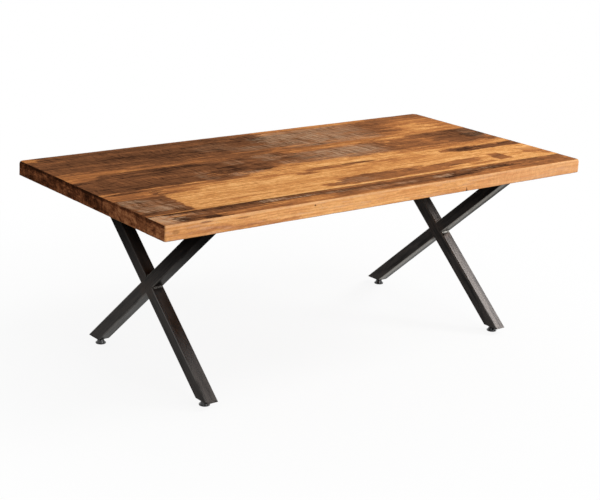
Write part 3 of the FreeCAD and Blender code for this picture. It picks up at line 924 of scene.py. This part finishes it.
def marks_of_age(place, name, board, fibre, streak, fleck):
    """The patina and the grey of a board's upper side, and how brown it is: 0 is pale, 1 nearly black."""
    low, high = BOARD_BOX[name]
    x, y, _ = place.axes()
    tatter = place.grain((0.08, 0.014, 0.014), 5, 0.7)
    ragged = (fleck - 0.5) * 2.0 + (streak - 0.5) * 3.0 + (tatter - 0.5) * 3.5
    moved = place + place.node("CombineXYZ", {}, {
        "X": (streak - 0.5) * 0.10 + (fleck - 0.5) * 0.05,
        "Y": (place.grain((0.05, 0.014, 0.014), 5, 0.65) - 0.5) * 0.024,
    })
    patina, grey, black, pale = (
        strongest(moved, board[kind], "top", ragged) for kind in ("patina", "grey", "black", "pale"))
    shifted = x + (fleck - 0.5) * 0.03 + (fibre - 0.5) * 0.012
    from_back = top_high.y - y + (tatter - 0.5) * 0.022
    patina = patina.most(batten_marks(shifted, from_back, board["patina_battens"], BATTEN_END))
    grey = grey.most(batten_marks(shifted, from_back, board["grey_battens"], WEATHERED_END))
    aged = patina.most(board["planed"]) + black * 0.45
    aged = aged - pale * (aged - 0.16)
    worn = (y - low.y).step(*WORN_SEAM) * streak.step(0.30, 0.55) * board["worn_seam"]
    aged = aged - worn * (aged - 0.10)
    dark = (high.y - y).step(*DARK_SEAM) * x.step(*DARK_SEAM_END) * board["dark_seam"]
    return patina, grey, aged + dark * (1.05 - aged)


def sawn_end(place, board, high, late):
    """The colour of end grain: blotched and scraped by the saw, and soiled near the upper side."""
    z = place.axes()[2]
    saw = place.grain((1.0, 0.0042, 0.06), 4, 0.65)
    blotch = place.grain((1.0, 0.020, 0.013), 5, 0.66)
    scrape = place.grain((1.0, 0.040, 0.0042), 4, 0.65)
    soiled = (high.z - z).step(*SOILED_TOP_EDGE) * blotch.step(0.25, 0.5)
    tone = (saw - 0.5) * 0.6 + (blotch - 0.5) * 2.0 + (scrape - 0.5) * 0.9 + (late - 0.4) * 0.15
    return (tone + board["end"] + 0.03 - soiled * 0.32).ramp(END_GRAIN_TONES)


def board_outside(name, y, low, high, far, near):
    """A mask of a board's outer long edge, if it has one, from far inside it to near it."""
    if name == "front":
        return (y - low.y).step(far, near)
    if name == "back":
        return (high.y - y).step(far, near)
    return y * 0.0


def old_wood(name, board):
    """The wood of one board: growth rings round its pith, and the marks that years of use left on it."""
    material, place = new_material("old_wood_" + name)
    low, high = BOARD_BOX[name]
    x, y, z = place.axes()
    fibre = place.grain((0.07, 0.0011, 0.0011), 3, 0.6)
    streak = place.grain((0.20, 0.0050, 0.0050), 5, 0.62)
    band = place.grain((0.45, 0.018, 0.018), 3, 0.5)
    cloud = place.grain((0.14, 0.045, 0.045), 3, 0.55)
    fleck = place.grain((0.034, 0.013, 0.013), 6, 0.68)
    speck = place.grain((0.011, 0.0045, 0.0045), 3, 0.7)
    pores = place.grain((0.006, 0.00045, 0.00045), 1).step(0.62, 0.70)
    slanted = place + place.node("CombineXYZ", {}, {"X": y * 0.16 + (cloud - 0.5) * 0.03})
    saw = slanted.grain((0.0060, 0.11, 0.11), 3, 0.66)
    late = late_wood(place, board, cloud, streak, band)
    patina, grey, aged = marks_of_age(place, name, board, fibre, streak, fleck)

    # The upper side and the outer edge, with the rubbed arris between them.
    top = (high.z - z).step(*TOP_FACE)
    edge_ragged = (place.grain((0.016, 0.01, 0.006), 4, 0.65) - 0.5) * 4.5
    edge = strongest(place, board["edge"], "edge", edge_ragged).most(x.step(*BROWN_END) * 0.12 + 0.15)
    resawn = x.step(*RESAWN_END) * (1 - top)
    arris = (high.z - z).step(*RUBBED_TOP_EDGE) * board["rubbed"]
    arris = arris * board_outside(name, y, low, high, *RUBBED_SIDE)
    grain = (streak - 0.5) * 0.60 + (fleck - 0.5) * 0.70 + (band - 0.5) * 0.50
    grain = grain + (fibre - 0.5) * 0.30 + (speck - 0.5) * 0.5
    grain = grain * (top * 0.45 + 0.55) * (1 - patina * 0.35)
    grain = grain + (late - 0.4) * 0.12 + (0.5 - saw) * (aged * top * 0.74 + resawn * 0.45)
    tone = edge + (aged - edge) * top
    wood = (tone - arris * (tone - 0.06) + grain).ramp(OLD_WOOD_TONES)
    wood = (resawn * 0.3 + (1 - top) * 0.15).mix(wood, colour(218, 160, 118))
    smear = place.grain((0.055, 0.012, 0.0055), 4, 0.65)
    wood = (smear.step(0.52, 0.68) * (1 - top) * 0.4).mix(wood, colour(206, 160, 132))
    wood = (smear.step(0.46, 0.34) * (1 - top) * 0.4).mix(wood, colour(206, 132, 84))
    wood = (arris * 0.45).mix(wood, colour(222, 176, 138))
    wood = (knot_rings(place, board["knots"]) * (1 - top)).mix(wood, colour(112, 62, 40))
    # Grey weathering in the saw strokes; across the middle of the back boards it also stands in for a
    # painted sheen.
    weathering_and_sheen = grey * top * (saw * 0.65 + fleck * 0.35).step(0.37, 0.64) * 0.85
    wood = weathering_and_sheen.mix(wood, colour(194, 160, 128))
    wood = (pores * 0.4).mix(wood, colour(52, 30, 18))

    # The ends and the underside.
    end = (high.x - abs(x)).step(*END_FACE)
    end = end * (1 - board_outside(name, y, low, high, *OUTER_CORNER))
    wood = end.mix(wood, sawn_end(place, board, high, late))
    under = (z - low.z).step(*UNDER_FACE)
    rough = streak * 0.7 + late * 0.35 + saw * 0.5 + cloud * 0.6 + board["planed"] - 1.1
    rough_wood = rough.step(-0.25, 0.55).mix(colour(178, 126, 82), colour(104, 68, 44))
    wood = (under * 0.9).mix(wood, rough_wood)

    # The glue lines and the nail holes.
    to_side = (y - low.y).least(high.y - y)
    seam = (to_side - under * UNDER_GAP).step(*GLUE_LINE)
    seam = seam * (1 - board_outside(name, y, low, high, *OUTER_FACE))
    wood = (seam * 0.6).mix(wood, colour(60, 36, 22))
    for side, shown in (("top", top), ("edge", 1 - top)):
        holes = [hole[1:] for hole in board["holes"] if hole[0] == side]
        stains = [(at, across, radius, radius, 1.0) for at, across, radius, _ in holes]
        wood = (strongest(place, stains, side, 0.0) * shown).mix(wood, colour(44, 26, 16))

    height = fibre * 0.5 + streak * 0.4 + saw * patina * 0.9 - pores * 0.5 + late * 0.25
    set_surface(material, {
        "Base Color": wood,
        "Roughness": 0.50 + patina * 0.10 + fibre * 0.12 + end * 0.15,
        "Specular IOR Level": 0.0,
        "Normal": height.bump(0.00025),
    })
    return material


for number, (name, marks) in enumerate(BOARDS.items(), 1):
    board = NO_MARKS | marks
    points, faces = board_mesh(name, board, BOARD_SEED * number)
    piece = new_piece("old_board_" + name, points, faces, old_wood(name, board), "table")
    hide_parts("top_board_" + name)

# Floor and surroundings: a plain pale floor under plain white air. Both look white to the camera and in
# glossy surfaces, and the floor keeps the table's soft shadow, which runs out to white.
FLOOR_REACH = 30.0
FLOOR_DROP = 0.0002
FLOOR_GREY = (0.82, 0.82, 0.82, 1.0)
WHITE = (1.0, 1.0, 1.0, 1.0)
SHADOW_SHARE = 0.10
SHADOW_REACH = (0.4, 1.4)
AMBIENT = 0.42
SEEN_RAYS = ("Is Camera Ray", "Is Glossy Ray", "Is Transmission Ray")

floor_mesh = bpy.data.meshes.new("floor")
floor_corners = [
    (x * FLOOR_REACH, y * FLOOR_REACH, -FLOOR_DROP) for x, y in ((-1, -1), (1, -1), (1, 1), (-1, 1))]
floor_mesh.from_pydata(floor_corners, [], [(0, 1, 2, 3)])
floor = bpy.data.objects.new("floor", floor_mesh)
bpy.context.scene.collection.objects.link(floor)
floor_white, floor_place = new_material("floor_white")
floor_mesh.materials.append(floor_white)
set_surface(floor_white, {"Base Color": FLOOR_GREY, "Roughness": 0.9, "Specular IOR Level": 0.0})


def seen_rays(shade):
    """1 for what the camera sees, straight or in a glossy or clear surface."""
    straight, glossy, clear = (shade.node("LightPath", {}, {}, name) for name in SEEN_RAYS)
    return straight.most(glossy).most(clear)


tree = floor_white.node_tree
glow = floor_place.node("Emission", {}, {"Color": WHITE, "Strength": 1.0})
distance = floor_place.maths("LENGTH", floor_place)
whitened = seen_rays(floor_place) * (distance.step(*SHADOW_REACH) * SHADOW_SHARE + (1 - SHADOW_SHARE))
lit = Shade(tree, tree.nodes["Principled BSDF"].outputs[0])
mixed = floor_place.node("MixShader", {}, {0: whitened, 1: lit, 2: glow})
tree.links.new(mixed.socket, tree.nodes["Material Output"].inputs["Surface"])

world = bpy.data.worlds.new("studio")
bpy.context.scene.world = world
world.use_nodes = True
background = world.node_tree.nodes["Background"]
background.inputs["Color"].default_value = WHITE
air = Shade(world.node_tree, background.outputs[0])
strength = seen_rays(air) * (1 - AMBIENT) + AMBIENT
world.node_tree.links.new(strength.socket, background.inputs["Strength"])

# Studio light: two soft boxes high on the right, which glint on the legs, a wide one in front and a dim one
# behind. All four are square and face the middle of the table.
LIT_POINT = Vector((0, 0, 0.3))
LIGHTS = {
    "right_box": ((4.24, -1.19, 3.12), 1.3, 130.0),
    "front_box": ((0.2, -3.6, 2.0), 2.2, 49.0),
    "top_box": ((1.95, -1.36, 3.67), 1.9, 38.0),
    "back_box": ((1.6, 2.4, 2.3), 1.6, 10.0),
}
for name, (place, width, power) in LIGHTS.items():
    lamp = bpy.data.lights.new(name, "AREA")
    lamp.shape = "SQUARE"
    lamp.size = width
    lamp.energy = power
    box = bpy.data.objects.new(name, lamp)
    box.location = place
    box.rotation_euler = (LIT_POINT - Vector(place)).to_track_quat("-Z", "Y").to_euler()
    bpy.context.scene.collection.objects.link(box)

# Camera at the photograph's viewpoint: to the left in front of the table, above it, and tilted a little.
# Its place, angles and lens were fitted to the table's straight edges.
CAMERA_PLACE = (-2.0333, -2.4418, 1.1960)
CAMERA_TURN, CAMERA_PITCH, CAMERA_ROLL = (math.radians(angle) for angle in (39.4841, -17.1169, -3.031))
CAMERA_SENSOR = 36.0
CAMERA_LENS = 84.2066
eye = bpy.data.cameras.new("camera")
eye.sensor_width = CAMERA_SENSOR
eye.lens = CAMERA_LENS
camera = bpy.data.objects.new("camera", eye)
camera.matrix_world = (
    Matrix.Translation(CAMERA_PLACE)
    @ Matrix.Rotation(-CAMERA_TURN, 4, "Z")
    @ Matrix.Rotation(math.pi / 2 + CAMERA_PITCH, 4, "X")
    @ Matrix.Rotation(-CAMERA_ROLL, 4, "Z")
)
bpy.context.scene.collection.objects.link(camera)
bpy.context.scene.camera = camera
bpy.context.scene.view_settings.view_transform = "Standard"
